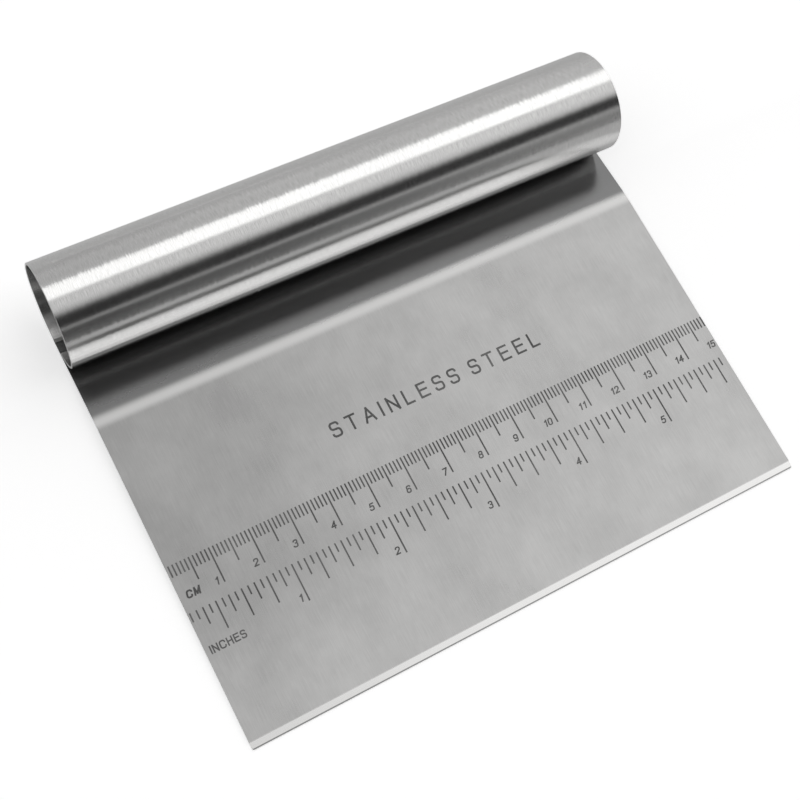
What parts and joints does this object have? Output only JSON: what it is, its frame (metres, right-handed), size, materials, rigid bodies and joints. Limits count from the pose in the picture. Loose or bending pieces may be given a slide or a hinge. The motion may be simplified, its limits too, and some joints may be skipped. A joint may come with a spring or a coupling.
{
  "type": "bench scraper",
  "caption": "Flat satin steel blade with a printed centimetre and inch ruler, a ground scraping edge and a rolled tube handle open at both ends.",
  "frame": {"origin": "middle of the bounding box's bottom face, as the scraper lies on its back with the printed face up", "axes": "+X along the scraping edge in the direction the ruler reads, +Y from the scraping edge to the handle, +Z out of the printed face"},
  "size_m": [0.15, 0.12, 0.026],
  "materials": {
    "blade_steel": "fine satin",
    "tube_steel": "brushed around the tube",
    "weld_steel": "ground weld",
    "print": "printed dark grey"
  },
  "bodies": {
    "root": {"blade": "blade_steel", "handle_tube": "tube_steel", "seam_weld": "weld_steel", "cm_ticks": "print", "cm_numerals": "print", "cm_label": "print", "inch_ticks": "print", "inch_numerals": "print", "inch_label": "print", "steel_words": "print"}
  },
  "joints": []
}
